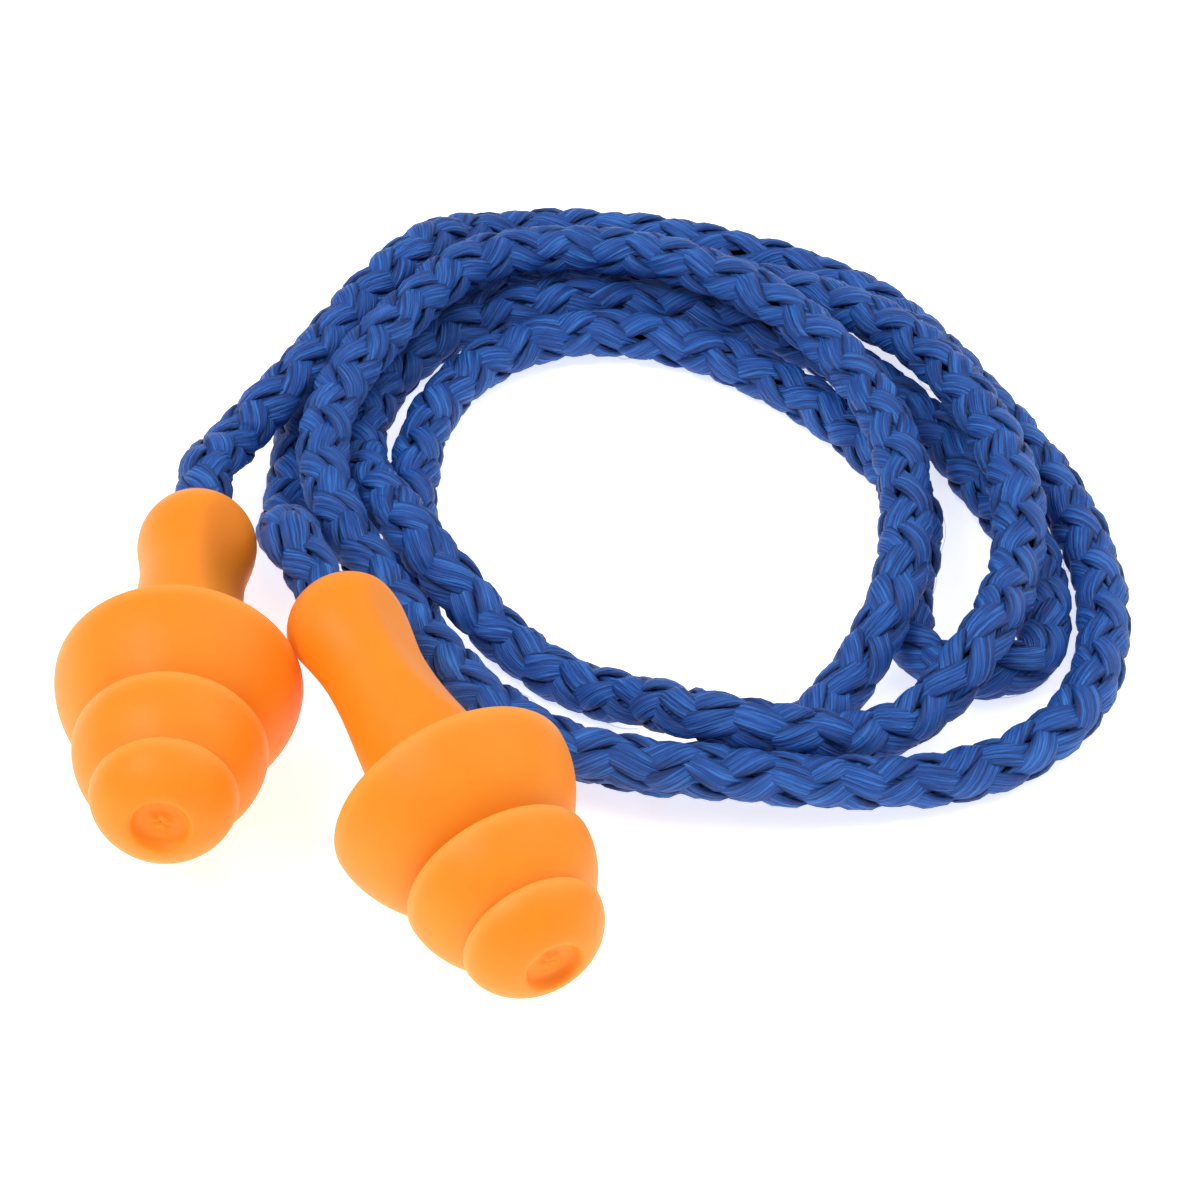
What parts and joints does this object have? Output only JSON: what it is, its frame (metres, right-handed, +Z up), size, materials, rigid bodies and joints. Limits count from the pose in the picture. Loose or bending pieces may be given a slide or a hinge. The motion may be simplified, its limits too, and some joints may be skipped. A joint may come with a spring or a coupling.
{
  "type": "corded ear plugs",
  "caption": "Pair of reusable flanged ear plugs in soft orange elastomer, joined by a braided blue cord that lies in a loose coil.",
  "frame": {"origin": "on the surface that the plugs lie on, under the middle of the two plugs' box", "axes": "+Z up from the surface, -Y towards the plugs' noses, +X to the right of the left plug"},
  "size_m": [0.0577, 0.0698, 0.013],
  "materials": {
    "plug": "satin, slightly translucent orange elastomer",
    "cord": "braided synthetic yarn, royal blue, soft sheen"
  },
  "bodies": {
    "cord": {"cord": "cord"},
    "plug_left": {"plug_left": "plug", "cord_end_left": "cord"},
    "plug_right": {"plug_right": "plug", "cord_end_right": "cord"}
  },
  "joints": [
    {"name": "left_lift", "type": "hinge", "parent": "cord", "child": "plug_left", "pos_m": [-0.00789, 0.02104, 0.00517], "axis": [-0.9063, 0, -0.4226], "range_deg": [0, 60]},
    {"name": "right_lift", "type": "hinge", "parent": "cord", "child": "plug_right", "pos_m": [-0.00182, 0.01007, 0.00908], "axis": [-0.8075, -0.4115, 0.4226], "range_deg": [0, 60]}
  ]
}
